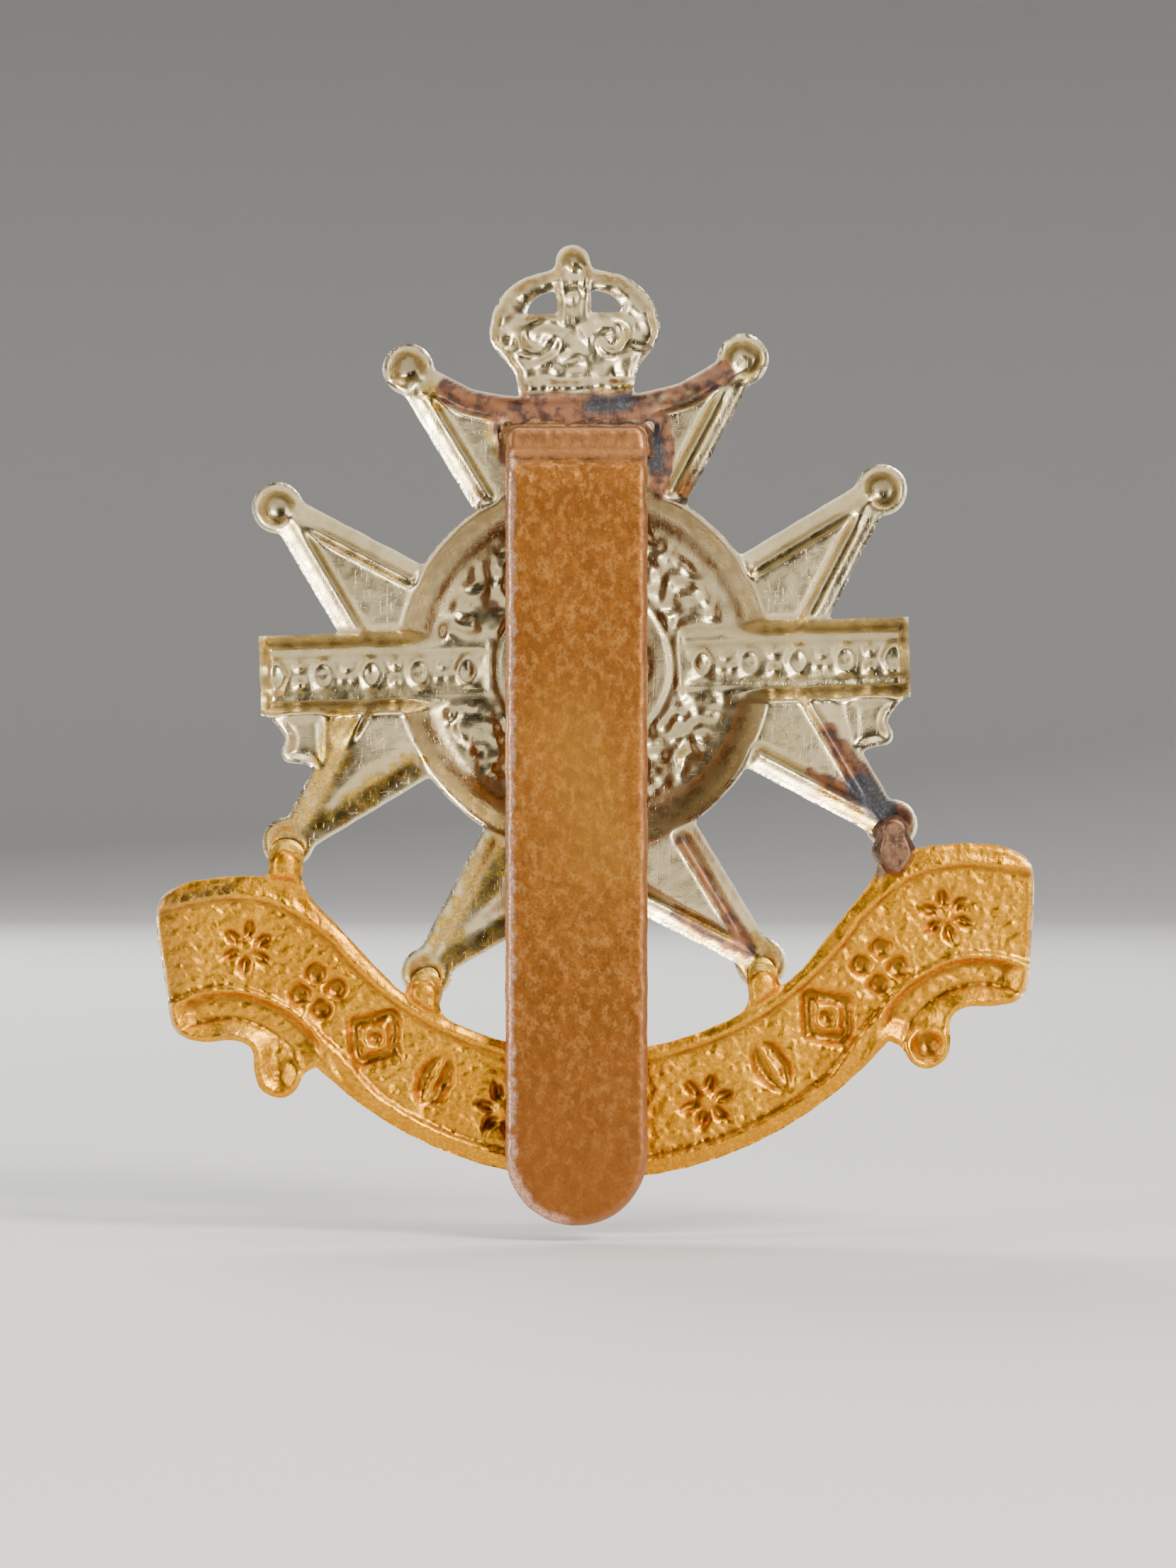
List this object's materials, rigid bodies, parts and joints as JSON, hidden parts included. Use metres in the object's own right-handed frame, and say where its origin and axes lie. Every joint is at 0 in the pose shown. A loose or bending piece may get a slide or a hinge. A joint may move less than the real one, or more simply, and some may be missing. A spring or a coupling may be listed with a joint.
{
  "type": "cap badge",
  "caption": "Bi-metal struck cap badge: an eight-pointed cross with a crown, a title scroll brazed to its lower tips and a sprung slider on the back.",
  "frame": {"origin": "centre of the cross, on the plane of its hollow back that sits against the cap", "axes": "+Z along the slider up to the crown, -Y out of the struck front, +Y out of the hollow back, +X to the wearer's left as the badge is seen from the front"},
  "size_m": [0.043, 0.0063, 0.0477],
  "materials": {
    "white_metal": "die-struck nickel silver, worn satin with a bright edge",
    "gilding_metal": "golden, grainy as struck",
    "slider_alloy": "orange-brown toned copper alloy, satin",
    "braze": "dull brown braze with flux stains"
  },
  "bodies": {
    "badge": {"cross_plate": "white_metal", "title_scroll": "gilding_metal", "slider_foot": "slider_alloy", "slider_braze": "braze", "lug_braze_outer_left": "braze", "lug_braze_inner_left": "braze", "lug_braze_inner_right": "braze", "lug_braze_outer_right": "braze"},
    "slider": {"slider_tongue": "slider_alloy"}
  },
  "joints": [
    {"name": "slider_flex", "type": "hinge", "parent": "badge", "child": "slider", "pos_m": [0.0004, 0.00215, 0.0082], "axis": [1, 0, 0], "range_deg": [-1, 3], "stiffness_Nm_per_rad": 3.7}
  ]
}
